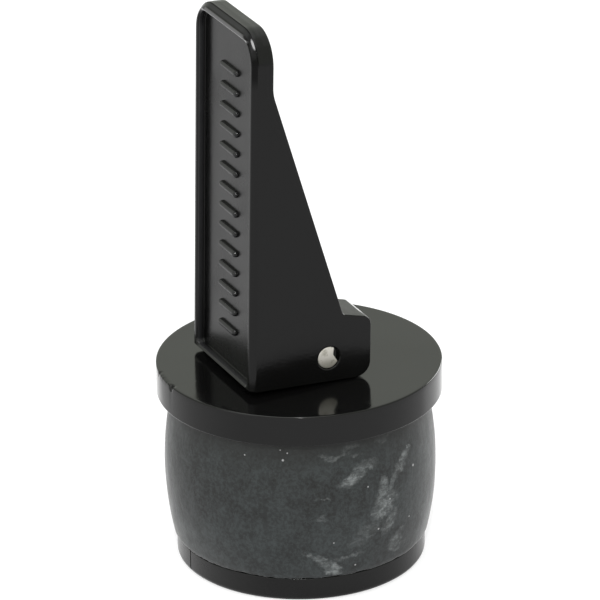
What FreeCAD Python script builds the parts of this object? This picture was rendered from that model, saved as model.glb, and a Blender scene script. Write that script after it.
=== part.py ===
import FreeCAD, Part
import os
import Sketcher

# Expanding drain plug, millimetres. +Z is up, the origin is the centre of the underside of the base disc,
# the pivot pin lies along Y, and the panel of the lever faces -X.

drivingSizes = {
    # cap flange
    "flangeDiameter": 52,
    "flangeThickness": 5.8,
    "flangeTopEdge": 0.25,
    "flangeUnderEdge": 0.3,
    "capSpigotLength": 8,
    "capSpigotWall": 2.8,
    # rubber bung
    "rubberHeight": 27.7,
    "rubberEndDiameter": 46.4,
    "rubberMiddleDiameter": 49.6,
    "rubberEdge": 0.6,
    # base disc
    "baseDiameter": 45.6,
    "baseThickness": 4.5,
    "baseEdge": 1,
    "hubRise": 5.5,
    "spigotDiameter": 16.4,
    "spigotClearance": 0.3,
    # stud, nut and pin
    "studDiameter": 6,
    "studClearance": 0.3,
    "studEndRecess": 1,
    "studEndBevel": 0.7,
    "eyeDiameter": 8.8,
    "eyeWidth": 8,
    "eyeEdge": 0.5,
    "threadClearance": 0.05,
    "nutAcrossFlats": 10,
    "nutHeight": 5,
    "nutRecess": 1.5,
    "nutClearance": 0.1,
    "pinDiameter": 4.2,
    "pinFit": 0.02,
    "pinRunningFit": 0.05,
    "pinEndRecess": 0.25,
    "pinEndBevel": 0.2,
    "pinAboveFlange": 4.95,
    # lever, measured from the pin axis
    "leverLean": 1.5,
    "leverWidth": 25.6,
    "leverTop": 62.9,
    "frontToPin": 15.4,
    "tabThickness": 3.9,
    "tabBottom": 51.9,
    "tabCorner": 5,
    "tabBlend": 8,
    "frontBevel": 1.1,
    "panelRim": 1.1,
    "panelLip": 1.1,
    "panelDepth": 2,
    "panelCorner": 2.8,
    "panelFillet": 0.8,
    "heelShoulder": 8,
    "heelShoulderOffset": 2.7,
    "heelBack": 8.3,
    "heelBackTop": 6.7,
    "heelBackRound": 1.8,
    "camDepth": 4.75,
    "footRise": 0.5,
    "camRadius": 5.7,
    # slot for the stud, and the cored channel above it
    "slotClearance": 0.2,
    "eyeClearance": 0.9,
    "channelWall": 3.4,
    "channelFoot": 16,
    "channelEnd": 38,
    "channelRunOut": 43,
    # grip ribs in the panel
    "ribLength": 7,
    "ribThickness": 1.3,
    "ribRise": 0.8,
    "ribPitch": 3.8,
    "ribFirst": 3.5,
    "ribCount": 14,
}

derivedSizes = {
    "rubberTop": "=baseThickness + rubberHeight",
    "flangeTop": "=rubberTop + flangeThickness",
    "pinHeight": "=flangeTop + pinAboveFlange",
    "flangeRadius": "=flangeDiameter / 2",
    "spigotRadius": "=spigotDiameter / 2",
    "capSpigotBore": "=spigotRadius - capSpigotWall",
    "studHole": "=studDiameter / 2 + studClearance",
    "rubberBore": "=spigotRadius + spigotClearance",
    "rubberEndRadius": "=rubberEndDiameter / 2",
    "rubberSwell": "=(rubberMiddleDiameter - rubberEndDiameter) / 2",
    "barrelRadius": "=((rubberHeight / 2) ^ 2 + rubberSwell ^ 2) / (2 * rubberSwell)",
    "baseRadius": "=baseDiameter / 2",
    "hubTop": "=baseThickness + hubRise",
    "nutPocketTop": "=nutRecess + nutHeight",
    "nutPocketFlats": "=nutAcrossFlats + 2 * nutClearance",
    "nutBore": "=studDiameter + 2 * threadClearance",
    "studLength": "=pinHeight - studEndRecess",
    "eyeBore": "=pinDiameter + 2 * pinFit",
    "leverBore": "=pinDiameter + 2 * pinRunningFit",
    "pinLength": "=leverWidth - 2 * pinEndRecess",
    "slotWidth": "=eyeWidth + 2 * slotClearance",
    "slotFront": "=eyeDiameter / 2 + eyeClearance",
    "slotBelow": "=camDepth + 2",
    "slotBehind": "=heelBack + 2",
    "channelFront": "=frontToPin - panelDepth - channelWall",
    "tabBack": "=frontToPin - tabThickness",
    "halfWidth": "=leverWidth / 2",
    "panelSide": "=halfWidth - frontBevel - panelRim",
    "panelTop": "=leverTop - frontBevel - panelRim",
    "footFront": "=camDepth - footRise",
    "panelBottom": "=camDepth - panelLip",
    "panelFloor": "=frontToPin - panelDepth",
    "panelArcSide": "=panelSide - panelCorner",
    "panelArcFoot": "=panelTop - panelCorner",
    "ribHalf": "=ribLength / 2 - ribThickness / 2",
    "ribRadius": "=ribThickness / 2",
    "ribSpan": "=ribPitch * (ribCount - 1)",
}

doc = FreeCAD.newDocument("DrainPlug")
sheet = doc.addObject("Spreadsheet::Sheet", "Sizes")
for row, (name, content) in enumerate({**drivingSizes, **derivedSizes}.items(), start=1):
    sheet.set(f"A{row}", name)
    sheet.set(f"B{row}", str(content))
    sheet.setAlias(f"B{row}", name)
doc.recompute()

small = 0.01
quarterTurn = 1.5707963267948966


def size(name):
    """Value of a cell, or its negative where the name starts with a minus sign; 0 stands for the axis."""
    if name == "0":
        return 0.0
    if name.startswith("-"):
        return -size(name[1:])
    return float(sheet.get(name))


def cell(name):
    """The same value as an expression."""
    if name == "0":
        return "0"
    return f"-Sizes.{name[1:]}" if name.startswith("-") else f"Sizes.{name}"


def newBody(label):
    body = doc.addObject("PartDesign::Body", label)
    body.Label = label
    return body


def originFeature(body, role):
    return next(item for item in body.Origin.OriginFeatures if item.Role == role)


def newSketch(body, name, role, offset="0"):
    """Sketch on one of the body's own planes, moved along the normal by a cell of the sheet."""
    sketch = body.newObject("Sketcher::SketchObject", name)
    sketch.AttachmentSupport = [(originFeature(body, role), "")]
    sketch.MapMode = "FlatFace"
    if offset != "0":
        sketch.setExpression("AttachmentOffset.Base.z", cell(offset))
    return sketch


def fixCoordinate(sketch, kind, geometry, point, name):
    """Ties one coordinate of a point to a cell."""
    index = sketch.addConstraint(Sketcher.Constraint(kind, -1, 1, geometry, point, size(name)))
    if name != "0":
        label = f"{kind}{index}"
        sketch.renameConstraint(index, label)
        sketch.setExpression(f"Constraints.{label}", cell(name))


def fixRadius(sketch, geometry, name):
    index = sketch.addConstraint(Sketcher.Constraint("Radius", geometry, size(name)))
    sketch.renameConstraint(index, f"Radius{index}")
    sketch.setExpression(f"Constraints.Radius{index}", cell(name))


def outline(sketch, corners, arcs=None):
    """Closed outline through corners given as pairs of cell names. arcs maps the number of a side to its
    (radius cell, centre x, centre y), where that side is an arc that runs counter-clockwise."""
    arcs = arcs or {}
    points = [FreeCAD.Vector(size(x), size(y), 0) for x, y in corners]
    count = len(points)
    for side in range(count):
        start, end = points[side], points[(side + 1) % count]
        if side in arcs:
            radiusName, centreX, centreY = arcs[side]
            centre = FreeCAD.Vector(centreX, centreY, 0)
            circle = Part.Circle(centre, FreeCAD.Vector(0, 0, 1), size(radiusName))
            sketch.addGeometry(Part.ArcOfCircle(circle, circle.parameter(start), circle.parameter(end)))
        else:
            sketch.addGeometry(Part.LineSegment(start, end))
    for side in range(count):
        sketch.addConstraint(Sketcher.Constraint("Coincident", side, 2, (side + 1) % count, 1))
    for side, (x, y) in enumerate(corners):
        fixCoordinate(sketch, "DistanceX", side, 1, x)
        fixCoordinate(sketch, "DistanceY", side, 1, y)
    for side, (radiusName, centreX, centreY) in arcs.items():
        fixRadius(sketch, side, radiusName)


def centredCircle(sketch, diameterName):
    """Circle about the sketch's origin."""
    circle = Part.Circle(FreeCAD.Vector(0, 0, 0), FreeCAD.Vector(0, 0, 1), size(diameterName) / 2)
    geometry = sketch.addGeometry(circle)
    sketch.addConstraint(Sketcher.Constraint("Coincident", geometry, 3, -1, 1))
    index = sketch.addConstraint(Sketcher.Constraint("Diameter", geometry, size(diameterName)))
    sketch.renameConstraint(index, "AcrossCircle")
    sketch.setExpression("Constraints.AcrossCircle", cell(diameterName))


def hexagon(sketch, flatsName):
    """Hexagon about the origin, with two flats parallel to the sketch's X axis."""
    halfFlats = size(flatsName) / 2
    corner = halfFlats * 2 / 3 ** 0.5
    turn = FreeCAD.Rotation(FreeCAD.Vector(0, 0, 1), 60)
    points = [FreeCAD.Vector(corner, 0, 0)]
    for _ in range(5):
        points.append(turn.multVec(points[-1]))
    for side in range(6):
        sketch.addGeometry(Part.LineSegment(points[side], points[(side + 1) % 6]))
    guide = sketch.addGeometry(Part.Circle(FreeCAD.Vector(0, 0, 0), FreeCAD.Vector(0, 0, 1), corner), True)
    for side in range(6):
        sketch.addConstraint(Sketcher.Constraint("Coincident", side, 2, (side + 1) % 6, 1))
        sketch.addConstraint(Sketcher.Constraint("PointOnObject", side, 1, guide))
    for side in range(1, 6):
        sketch.addConstraint(Sketcher.Constraint("Equal", 0, side))
    sketch.addConstraint(Sketcher.Constraint("Coincident", guide, 3, -1, 1))
    sketch.addConstraint(Sketcher.Constraint("PointOnObject", 0, 1, -1))
    index = sketch.addConstraint(Sketcher.Constraint("Distance", 1, 1, 4, halfFlats * 2))
    sketch.renameConstraint(index, "AcrossFlats")
    sketch.setExpression("Constraints.AcrossFlats", cell(flatsName))


def bar(sketch, y, halfLengthName, radiusName):
    """Bar with round ends, lying along the sketch's X axis at a height given by a cell name."""
    half, radius, height = size(halfLengthName), size(radiusName), size(y)
    up = FreeCAD.Vector(0, 0, 1)
    right = Part.Circle(FreeCAD.Vector(half, height, 0), up, radius)
    left = Part.Circle(FreeCAD.Vector(-half, height, 0), up, radius)
    sketch.addGeometry(Part.ArcOfCircle(right, -quarterTurn, quarterTurn))
    sketch.addGeometry(Part.LineSegment(FreeCAD.Vector(half, height + radius, 0),
                                        FreeCAD.Vector(-half, height + radius, 0)))
    sketch.addGeometry(Part.ArcOfCircle(left, quarterTurn, 3 * quarterTurn))
    sketch.addGeometry(Part.LineSegment(FreeCAD.Vector(-half, height - radius, 0),
                                        FreeCAD.Vector(half, height - radius, 0)))
    for side in range(4):
        sketch.addConstraint(Sketcher.Constraint("Tangent", side, 2, (side + 1) % 4, 1))
    sketch.addConstraint(Sketcher.Constraint("Equal", 0, 2))
    fixCoordinate(sketch, "DistanceX", 0, 3, halfLengthName)
    fixCoordinate(sketch, "DistanceX", 2, 3, "-" + halfLengthName)
    fixCoordinate(sketch, "DistanceY", 0, 3, y)
    fixCoordinate(sketch, "DistanceY", 2, 3, y)
    fixRadius(sketch, 0, radiusName)


def extrude(body, kind, name, sketch, lengthName=None, symmetric=False, reverse=False):
    """Pad or Pocket of a sketch; with no length it cuts right through."""
    feature = body.newObject(f"PartDesign::{kind}", name)
    feature.Profile = sketch
    if symmetric:
        feature.SideType = "Symmetric"
    feature.Reversed = reverse
    if lengthName is None:
        feature.Type = "ThroughAll"
    else:
        feature.setExpression("Length", cell(lengthName))
    doc.recompute()
    return feature


def revolve(body, name, sketch):
    feature = body.newObject("PartDesign::Revolution", name)
    feature.Profile = sketch
    feature.ReferenceAxis = (sketch, ["V_Axis"])
    feature.Angle = 360
    doc.recompute()
    return feature


def dress(body, kind, name, base, wanted, sizeName):
    """Fillet or Chamfer on the edges of the last feature that pass the test."""
    edges = [f"Edge{number}" for number, edge in enumerate(base.Shape.Edges, start=1) if wanted(edge)]
    if not edges:
        raise ValueError(f"{name}: no edge found")
    feature = body.newObject(f"PartDesign::{kind}", name)
    feature.Base = (base, edges)
    feature.setExpression("Radius" if kind == "Fillet" else "Size", cell(sizeName))
    doc.recompute()
    return feature


def near(first, second):
    return abs(first - second) < small


def acrossY(edge):
    """Test for an edge in a plane square to Y."""
    return near(edge.BoundBox.YMin, edge.BoundBox.YMax)


def alongY(x, z):
    """Test for an edge that runs along Y through x, z."""
    def test(edge):
        box = edge.BoundBox
        return near(box.XMin, x) and near(box.XMax, x) and near(box.ZMin, z) and near(box.ZMax, z)
    return test


def ring(radius, z):
    """Test for a circular edge about the Z axis."""
    def test(edge):
        box = edge.BoundBox
        return near(box.ZMin, z) and near(box.ZMax, z) and near(box.XMax, radius) and near(box.XMin, -radius)
    return test


def makeCapFlange():
    body = newBody("cap_flange")
    profile = newSketch(body, "CapProfile", "XZ_Plane")
    outline(profile, [
        ("studHole", "0"),
        ("capSpigotBore", "0"),
        ("capSpigotBore", "-capSpigotLength"),
        ("spigotRadius", "-capSpigotLength"),
        ("spigotRadius", "0"),
        ("flangeRadius", "0"),
        ("flangeRadius", "flangeThickness"),
        ("studHole", "flangeThickness"),
    ])
    cap = revolve(body, "CapTurned", profile)
    cap = dress(body, "Fillet", "CapTopEdge", cap,
                ring(size("flangeRadius"), size("flangeThickness")), "flangeTopEdge")
    dress(body, "Fillet", "CapUnderEdge", cap, ring(size("flangeRadius"), 0), "flangeUnderEdge")
    body.setExpression("Placement.Base.z", cell("rubberTop"))
    return body


def makeRubberBung():
    body = newBody("rubber_bung")
    profile = newSketch(body, "BungProfile", "XZ_Plane")
    centreX = size("rubberEndRadius") + size("rubberSwell") - size("barrelRadius")
    outline(profile, [
        ("rubberBore", "0"),
        ("rubberEndRadius", "0"),
        ("rubberEndRadius", "rubberHeight"),
        ("rubberBore", "rubberHeight"),
    ], arcs={1: ("barrelRadius", centreX, size("rubberHeight") / 2)})
    bung = revolve(body, "BungTurned", profile)
    bung = dress(body, "Fillet", "BungTopEdge", bung,
                 ring(size("rubberEndRadius"), size("rubberHeight")), "rubberEdge")
    dress(body, "Fillet", "BungUnderEdge", bung, ring(size("rubberEndRadius"), 0), "rubberEdge")
    body.setExpression("Placement.Base.z", cell("baseThickness"))
    return body


def makeBaseDisc():
    body = newBody("base_disc")
    profile = newSketch(body, "BaseProfile", "XZ_Plane")
    outline(profile, [
        ("studHole", "0"),
        ("baseRadius", "0"),
        ("baseRadius", "baseThickness"),
        ("spigotRadius", "baseThickness"),
        ("spigotRadius", "hubTop"),
        ("studHole", "hubTop"),
    ])
    base = revolve(body, "BaseTurned", profile)
    dress(body, "Fillet", "BaseUnderEdge", base, ring(size("baseRadius"), 0), "baseEdge")
    pocketSketch = newSketch(body, "NutPocketOutline", "XY_Plane")
    hexagon(pocketSketch, "nutPocketFlats")
    extrude(body, "Pocket", "NutPocket", pocketSketch, "nutPocketTop", reverse=True)
    return body


def makeLockNut():
    body = newBody("lock_nut")
    nutSketch = newSketch(body, "NutOutline", "XY_Plane")
    hexagon(nutSketch, "nutAcrossFlats")
    extrude(body, "Pad", "NutPrism", nutSketch, "nutHeight")
    boreSketch = newSketch(body, "NutBoreOutline", "XY_Plane")
    centredCircle(boreSketch, "nutBore")
    extrude(body, "Pocket", "NutBore", boreSketch, "nutHeight", reverse=True)
    body.setExpression("Placement.Base.z", cell("nutRecess"))
    return body


def makeDrawStud():
    body = newBody("draw_stud")
    eyeSketch = newSketch(body, "EyeOutline", "XZ_Plane")
    centredCircle(eyeSketch, "eyeDiameter")
    eye = extrude(body, "Pad", "Eye", eyeSketch, "eyeWidth", symmetric=True)
    dress(body, "Fillet", "EyeEdge", eye, acrossY, "eyeEdge")
    shankSketch = newSketch(body, "ShankOutline", "XY_Plane")
    centredCircle(shankSketch, "studDiameter")
    shank = extrude(body, "Pad", "Shank", shankSketch, "studLength", reverse=True)
    shank = dress(body, "Chamfer", "ShankEnd", shank,
                  ring(size("studDiameter") / 2, -size("studLength")), "studEndBevel")
    boreSketch = newSketch(body, "EyeBoreOutline", "XZ_Plane")
    centredCircle(boreSketch, "eyeBore")
    extrude(body, "Pocket", "EyeBore", boreSketch, symmetric=True)
    body.setExpression("Placement.Base.z", cell("pinHeight"))
    return body


def makePivotPin():
    body = newBody("pivot_pin")
    pinSketch = newSketch(body, "PinOutline", "XZ_Plane")
    centredCircle(pinSketch, "pinDiameter")
    pin = extrude(body, "Pad", "PinRod", pinSketch, "pinLength", symmetric=True)
    dress(body, "Chamfer", "PinEnds", pin, acrossY, "pinEndBevel")
    body.setExpression("Placement.Base.z", cell("pinHeight"))
    return body


def makeLever():
    """Moulded lever. Its own frame has the pin axis along Y through the origin and its front face upright."""
    body = newBody("lever")
    front, back, bottom = -size("frontToPin"), size("heelBack"), -size("camDepth")
    sideSketch = newSketch(body, "LeverSide", "XZ_Plane")
    outline(sideSketch, [
        ("-frontToPin", "-footFront"),
        ("heelBack", "-camDepth"),
        ("heelBack", "heelBackTop"),
        ("heelShoulderOffset", "heelShoulder"),
        ("-tabBack", "tabBottom"),
        ("-tabBack", "leverTop"),
        ("-frontToPin", "leverTop"),
    ])
    lever = extrude(body, "Pad", "LeverBlock", sideSketch, "leverWidth", symmetric=True)

    # The rounded rear lower corner is the cam that rolls over the flange.
    lever = dress(body, "Fillet", "CamCorner", lever, alongY(back, bottom), "camRadius")
    lever = dress(body, "Fillet", "HeelBackCorner", lever, alongY(back, size("heelBackTop")), "heelBackRound")
    lever = dress(body, "Fillet", "TabBlend", lever, alongY(-size("tabBack"), size("tabBottom")), "tabBlend")

    def topCorner(edge):
        box = edge.BoundBox
        return acrossY(edge) and near(box.ZMin, size("leverTop")) and near(box.ZMax, size("leverTop"))
    lever = dress(body, "Fillet", "TabCorners", lever, topCorner, "tabCorner")

    def frontRim(edge):
        box = edge.BoundBox
        onFront = near(box.XMin, front) and near(box.XMax, front)
        return onFront and not near(box.ZMax, -size("footFront"))
    lever = dress(body, "Chamfer", "FrontBevel", lever, frontRim, "frontBevel")

    panelSketch = newSketch(body, "PanelOutline", "YZ_Plane", "-frontToPin")
    arcHeight = size("panelArcFoot")
    outline(panelSketch, [
        ("-panelSide", "-panelBottom"),
        ("panelSide", "-panelBottom"),
        ("panelSide", "panelArcFoot"),
        ("panelArcSide", "panelTop"),
        ("-panelArcSide", "panelTop"),
        ("-panelSide", "panelArcFoot"),
    ], arcs={2: ("panelCorner", size("panelArcSide"), arcHeight),
             4: ("panelCorner", -size("panelArcSide"), arcHeight)})
    lever = extrude(body, "Pocket", "Panel", panelSketch, "panelDepth", reverse=True)

    def panelFloor(edge):
        box = edge.BoundBox
        return near(box.XMin, -size("panelFloor")) and near(box.XMax, -size("panelFloor"))
    lever = dress(body, "Fillet", "PanelFloor", lever, panelFloor, "panelFillet")

    ribSketch = newSketch(body, "RibOutline", "YZ_Plane", "-panelFloor")
    bar(ribSketch, "ribFirst", "ribHalf", "ribRadius")
    rib = extrude(body, "Pad", "GripRib", ribSketch, "ribRise", reverse=True)
    ribs = body.newObject("PartDesign::LinearPattern", "GripRibs")
    ribs.Originals = [rib]
    ribs.Direction = (originFeature(body, "Z_Axis"), [""])
    ribs.setExpression("Length", cell("ribSpan"))
    ribs.setExpression("Occurrences", cell("ribCount"))
    body.Tip = ribs
    doc.recompute()

    slotSketch = newSketch(body, "SlotOutline", "XZ_Plane")
    outline(slotSketch, [
        ("-slotFront", "-slotBelow"),
        ("slotBehind", "-slotBelow"),
        ("slotBehind", "channelRunOut"),
        ("-heelShoulderOffset", "channelRunOut"),
        ("-channelFront", "channelEnd"),
        ("-channelFront", "channelFoot"),
        ("-slotFront", "heelShoulder"),
    ])
    lever = extrude(body, "Pocket", "Slot", slotSketch, "slotWidth", symmetric=True)
    boreSketch = newSketch(body, "PinBoreOutline", "XZ_Plane")
    centredCircle(boreSketch, "leverBore")
    extrude(body, "Pocket", "PinBore", boreSketch, symmetric=True)
    body.Placement = FreeCAD.Placement(FreeCAD.Vector(0, 0, 0), FreeCAD.Rotation(FreeCAD.Vector(0, 1, 0), 1))
    body.setExpression("Placement.Base.z", cell("pinHeight"))
    body.setExpression("Placement.Rotation.Angle", "Sizes.leverLean * 1 deg")
    return body


subParts = [
    makeCapFlange(),
    makeRubberBung(),
    makeBaseDisc(),
    makeLockNut(),
    makeDrawStud(),
    makePivotPin(),
    makeLever(),
]
doc.recompute()

for item in doc.Objects:
    if "Invalid" in item.State or "Error" in item.State:
        raise RuntimeError(f"{item.Label} failed: {item.State}")
for body in subParts:
    if body.Shape.isNull() or not body.Shape.isValid() or len(body.Shape.Solids) != 1:
        raise RuntimeError(f"{body.Label} has no single valid solid")

os.makedirs("parts", exist_ok=True)
for body in subParts:
    body.Shape.exportStep(f"parts/{body.Label}.step")
    box = body.Shape.BoundBox
    print(f"{body.Label}: {body.Shape.Volume:.0f} mm3, z {box.ZMin:.2f} to {box.ZMax:.2f}")
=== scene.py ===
import math

import bmesh
import bpy
from mathutils import Matrix, Vector, noise


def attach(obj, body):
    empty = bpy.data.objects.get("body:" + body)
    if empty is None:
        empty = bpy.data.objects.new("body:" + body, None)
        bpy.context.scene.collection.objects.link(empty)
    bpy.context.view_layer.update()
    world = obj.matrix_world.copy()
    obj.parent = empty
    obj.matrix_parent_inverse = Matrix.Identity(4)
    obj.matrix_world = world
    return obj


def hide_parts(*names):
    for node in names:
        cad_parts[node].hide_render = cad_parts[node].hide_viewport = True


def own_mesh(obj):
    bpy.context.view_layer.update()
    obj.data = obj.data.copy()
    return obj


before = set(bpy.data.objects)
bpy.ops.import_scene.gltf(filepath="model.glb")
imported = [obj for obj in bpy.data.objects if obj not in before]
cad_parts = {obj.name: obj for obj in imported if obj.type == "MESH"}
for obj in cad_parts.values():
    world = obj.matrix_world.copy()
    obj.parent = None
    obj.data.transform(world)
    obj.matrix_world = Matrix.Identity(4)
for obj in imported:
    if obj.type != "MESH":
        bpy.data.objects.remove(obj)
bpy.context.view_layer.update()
print("frame loaded")

mm = 0.001
scene = bpy.context.scene


# Meshes

# corners are (x, y, radius); each rounded corner becomes a fixed number of short sides
def roundOutline(corners, steps=6):
    points = []
    for index, (x, y, radius) in enumerate(corners):
        here = Vector((x, y))
        before = (Vector(corners[index - 1][:2]) - here).normalized()
        after = (Vector(corners[(index + 1) % len(corners)][:2]) - here).normalized()
        if radius == 0:
            points.append((x, y))
            continue
        half = before.angle(after) / 2
        centre = here + (before + after).normalized() * (radius / math.sin(half))
        start = here + before * (radius / math.tan(half)) - centre
        end = here + after * (radius / math.tan(half)) - centre
        first = math.atan2(start.y, start.x)
        sweep = (math.atan2(end.y, end.x) - first + math.pi) % math.tau - math.pi
        for step in range(steps + 1):
            angle = first + sweep * step / steps
            points.append((centre.x + radius * math.cos(angle), centre.y + radius * math.sin(angle)))
    return points


def newPiece(name, mesh):
    piece = bpy.data.objects.new(name, mesh)
    scene.collection.objects.link(piece)
    return piece


def meshFrom(name, build):
    form = bmesh.new()
    build(form)
    bmesh.ops.remove_doubles(form, verts=form.verts, dist=1e-7)
    bmesh.ops.recalc_face_normals(form, faces=form.faces)
    mesh = bpy.data.meshes.new(name)
    form.to_mesh(mesh)
    form.free()
    return newPiece(name, mesh)


# closed skin through loops of the same number of points, capped at both ends
def loft(name, loops):
    def build(form):
        rings = [[form.verts.new(point) for point in loop] for loop in loops]
        for lower, upper in zip(rings, rings[1:]):
            for index in range(len(lower)):
                after = (index + 1) % len(lower)
                form.faces.new((lower[index], lower[after], upper[after], upper[index]))
        form.faces.new(rings[0])
        form.faces.new(rings[-1])
    return meshFrom(name, build)


# loft() in millimetres: stations are (level on the axis, points on the two other axes)
def loftAlong(name, axis, stations):
    loops = []
    for level, outline in stations:
        loops.append([[value * mm for value in (*point[:axis], level, *point[axis:])] for point in outline])
    return loft(name, loops)


# turns a closed outline of (radius, height) about the Z axis; points at radius 0 close a solid form
def lathe(name, outline, sides):
    def build(form):
        rings = []
        for radius, height in outline:
            if radius == 0:
                rings.append([form.verts.new((0, 0, height))] * sides)
                continue
            ring = []
            for side in range(sides):
                angle = math.tau * side / sides
                ring.append(form.verts.new((radius * math.cos(angle), radius * math.sin(angle), height)))
            rings.append(ring)
        for index, lower in enumerate(rings):
            upper = rings[(index + 1) % len(rings)]
            for side in range(sides):
                after = (side + 1) % sides
                corners = dict.fromkeys((lower[side], lower[after], upper[after], upper[side]))
                if len(corners) > 2:
                    form.faces.new(list(corners))
    return meshFrom(name, build)


def applyModifiers(piece):
    bpy.context.view_layer.update()
    evaluated = piece.evaluated_get(bpy.context.evaluated_depsgraph_get())
    mesh = bpy.data.meshes.new_from_object(evaluated)
    old = piece.data
    piece.modifiers.clear()
    piece.data = mesh
    mesh.name = piece.name
    bpy.data.meshes.remove(old)


def combine(piece, tool, operation):
    modifier = piece.modifiers.new("Combine", "BOOLEAN")
    modifier.operation = operation
    modifier.solver = "EXACT"
    modifier.object = tool
    applyModifiers(piece)
    bpy.data.objects.remove(tool)


# smooth shading that keeps broad flat faces flat
def finishShading(piece, sharpAngle=35):
    mesh = piece.data
    mesh.polygons.foreach_set("use_smooth", [True] * len(mesh.polygons))
    mesh.set_sharp_from_angle(angle=math.radians(sharpAngle))
    modifier = piece.modifiers.new("Weights", "WEIGHTED_NORMAL")
    modifier.mode = "FACE_AREA"
    modifier.weight = 100
    modifier.keep_sharp = True
    applyModifiers(piece)


def bevelEdges(piece, width, segments, angle=34):
    modifier = piece.modifiers.new("Edges", "BEVEL")
    modifier.width = width
    modifier.segments = segments
    modifier.limit_method = "ANGLE"
    modifier.angle_limit = math.radians(angle)
    modifier.use_clamp_overlap = False
    modifier.miter_outer = "MITER_ARC"
    applyModifiers(piece)


def scaled(points):
    return [(x * mm, y * mm) for x, y in points]


# Finishes

# a socket whose arithmetic adds Math nodes
class Wire:
    def __init__(self, graph, socket):
        self.graph = graph
        self.socket = socket

    def __add__(self, other):
        return self.graph.maths("ADD", self, other)

    def __radd__(self, other):
        return self.graph.maths("ADD", other, self)

    def __sub__(self, other):
        return self.graph.maths("SUBTRACT", self, other)

    def __rsub__(self, other):
        return self.graph.maths("SUBTRACT", other, self)

    def __mul__(self, other):
        return self.graph.maths("MULTIPLY", self, other)

    def __rmul__(self, other):
        return self.graph.maths("MULTIPLY", other, self)

    def __truediv__(self, other):
        return self.graph.maths("DIVIDE", self, other)

    def size(self):
        return self.graph.maths("ABSOLUTE", self)

    def root(self):
        return self.graph.maths("SQRT", self)

    def atLeast(self, other):
        return self.graph.maths("MAXIMUM", self, other)

    def atMost(self, other):
        return self.graph.maths("MINIMUM", self, other)

    # 0 below low, 1 above high, smooth between
    def rise(self, low, high):
        return self.graph.add("ShaderNodeMapRange", {"interpolation_type": "SMOOTHSTEP"},
                              {"Value": self, "From Min": low, "From Max": high}, "Result")

    # rise() of a length, its limits in millimetres
    def past(self, low, high):
        return self.rise(low * mm, high * mm)

    # 1 between the two inner limits and 0 outside the outer ones, in millimetres
    def band(self, low, start, end, high):
        return self.past(low, start) * (1 - self.past(end, high))


# a node tree built by calls
class Graph:
    def __init__(self, tree):
        self.tree = tree
        self.tree.nodes.clear()

    def feed(self, socket, value):
        if isinstance(value, Wire):
            self.tree.links.new(value.socket, socket)
        else:
            socket.default_value = value

    # makes a node: its settings first, then the values or links of its sockets
    def add(self, kind, settings, values, output=0):
        node = self.tree.nodes.new(kind)
        for key, value in settings.items():
            setattr(node, key, value)
        for key, value in (values.items() if isinstance(values, dict) else enumerate(values)):
            self.feed(node.inputs[key], value)
        return node if output is None else Wire(self, node.outputs[output])

    def maths(self, operation, *values):
        return self.add("ShaderNodeMath", {"operation": operation}, values)

    def mixColour(self, factor, first, second):
        return self.add("ShaderNodeMix", {"data_type": "RGBA"}, {0: factor, 6: first, 7: second}, 2)


class Finish(Graph):
    def __init__(self, name):
        self.material = bpy.data.materials.new(name)
        self.material.use_nodes = True
        super().__init__(self.material.node_tree)
        self.output = self.add("ShaderNodeOutputMaterial", {}, {}, None)
        self.place = self.add("ShaderNodeTexCoord", {}, {}, "Object")
        axes = self.add("ShaderNodeSeparateXYZ", {}, [self.place], None)
        self.x, self.y, self.z = (Wire(self, axes.outputs[axis]) for axis in "XYZ")

    def noise(self, scale, detail=4, roughness=0.5, stretch=(1, 1, 1), distortion=0, shift=(0, 0, 0)):
        place = self.add("ShaderNodeMapping", {}, {"Vector": self.place, "Scale": stretch, "Location": shift})
        return self.add("ShaderNodeTexNoise", {}, {"Vector": place, "Scale": scale, "Detail": detail,
                                                   "Roughness": roughness, "Distortion": distortion})

    # soft round spots, 1 at each centre; points are (x, y, z, radius) in millimetres
    def spots(self, points):
        total = None
        for x, y, z, radius in points:
            gap = self.add("ShaderNodeVectorMath", {"operation": "DISTANCE"},
                           [self.place, (x * mm, y * mm, z * mm)], "Value")
            spot = 1 - gap.past(0.4 * radius, radius)
            total = spot if total is None else total.atLeast(spot)
        return total

    # the place on the piece, pushed about by a colour noise of the given reach in metres
    def warped(self, scale, reach):
        colour = self.add("ShaderNodeTexNoise", {}, {"Vector": self.place, "Scale": scale,
                                                     "Detail": 5, "Roughness": 0.65}, "Color")
        push = self.add("ShaderNodeVectorMath", {"operation": "SUBTRACT"}, [colour, (0.5, 0.5, 0.5)])
        values = [push, (reach,) * 3, self.place]
        return self.add("ShaderNodeVectorMath", {"operation": "MULTIPLY_ADD"}, values)

    # soft streak about a point: half its length and width in millimetres, direction a unit vector along it
    def streak(self, place, centre, direction, length, width):
        middle = [value * mm for value in centre]
        offset = self.add("ShaderNodeVectorMath", {"operation": "SUBTRACT"}, [place, middle])
        along = self.add("ShaderNodeVectorMath", {"operation": "DOT_PRODUCT"}, [offset, direction], "Value")
        squared = self.add("ShaderNodeVectorMath", {"operation": "DOT_PRODUCT"}, [offset, offset], "Value")
        squared = squared - along * along * (1 - (width / length) ** 2)
        return 1 - squared.rise(0.1 * (width * mm) ** 2, (width * mm) ** 2)

    def bump(self, height, strength, distance):
        return self.add("ShaderNodeBump", {}, {"Height": height, "Strength": strength, "Distance": distance})

    # dull: how much of a lightless black is mixed in, as painted shade in creases and on bevels
    def surface(self, dull=None, **values):
        named = {key.replace("_", " "): value for key, value in values.items()}
        shader = self.add("ShaderNodeBsdfPrincipled", {}, named)
        if dull:
            black = self.add("ShaderNodeBsdfDiffuse", {}, {"Color": grey(0.002)})
            shader = self.add("ShaderNodeMixShader", {}, [dull, shader, black])
        self.feed(self.output.inputs["Surface"], shader)
        return self.material


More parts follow.
